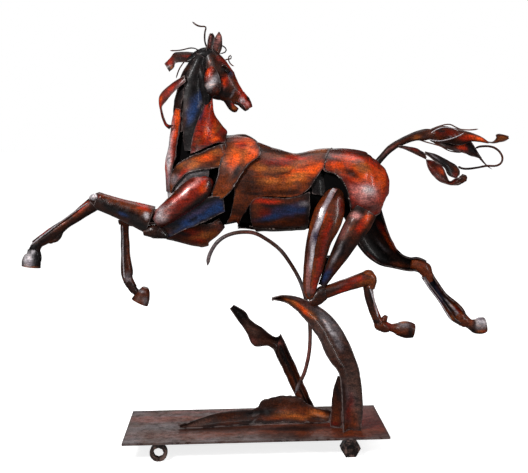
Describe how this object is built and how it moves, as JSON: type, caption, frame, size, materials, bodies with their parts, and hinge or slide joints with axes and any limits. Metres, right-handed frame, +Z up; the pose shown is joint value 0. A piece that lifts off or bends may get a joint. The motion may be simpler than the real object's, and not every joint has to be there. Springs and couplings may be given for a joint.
{
  "type": "metal horse sculpture",
  "caption": "Leaping horse welded from torn, rolled sheet steel, carried by a curved tusk-shaped support over a flat rectangular base plate with small ring and nut feet.",
  "frame": {"origin": "middle of the whole work's underside, on the floor under its feet", "axes": "+Z up, the horse leaps toward -X, its near (left) side faces -Y"},
  "size_m": [0.6596, 0.152, 0.5748],
  "materials": {
    "rust": "torch-coloured rust brown under clear gloss lacquer",
    "orange": "torch-coloured orange under clear gloss lacquer",
    "red": "torch-coloured deep red under clear gloss lacquer",
    "dark": "black mill scale, glossy",
    "blue": "heat-blued black, glossy",
    "brown": "dark brown patina, glossy",
    "pale": "wire-brushed grey steel under clear lacquer"
  },
  "bodies": {
    "root": {"base_plate": "pale", "foot_ring_front": "brown", "foot_nut_front": "brown", "foot_nut_back": "brown", "foot_ring_back": "brown", "ground_leaf": "brown", "tusk_support": "brown", "tusk_gusset": "dark", "channel_post": "dark", "post_blade": "dark", "support_rod": "brown", "shoulder_blade_near": "orange", "barrel_near": "rust", "belly_near": "brown", "rump_near": "red", "shoulder_blade_far": "orange", "barrel_far": "rust", "belly_far": "brown", "rump_far": "red", "chest_keel": "rust", "neck_throat_near": "red", "neck_panel_near": "dark", "neck_crest": "dark", "neck_far": "dark", "breast_strip": "red", "collar_near": "orange", "face_plate": "red", "cheek_near": "pale", "cheek_far": "dark", "muzzle": "brown", "lower_jaw": "rust", "ear_near": "rust", "ear_far": "rust", "mane_top_strip": "dark", "mane_side_ribbon": "red", "forelock_wire": "brown", "tail_stem": "rust", "tail_upper_leaf": "rust", "tail_curl": "orange", "tail_lower_strip": "dark", "tail_lower_leaf": "rust", "tail_loop_wire": "brown", "upper_arm_near": "red", "forearm_near": "red", "cannon_near": "rust", "upper_arm_far": "brown", "forearm_far": "brown", "cannon_far": "brown", "thigh_front_near": "red", "thigh_rear_near": "rust", "gaskin_near": "brown", "cannon_hind_near": "brown", "thigh_far": "dark", "cannon_hind_far": "blue", "hoof_fore_near": "brown", "hoof_fore_far": "brown", "hoof_hind_near": "brown", "hoof_hind_far": "brown", "elbow_guard": "blue"}
  },
  "joints": []
}
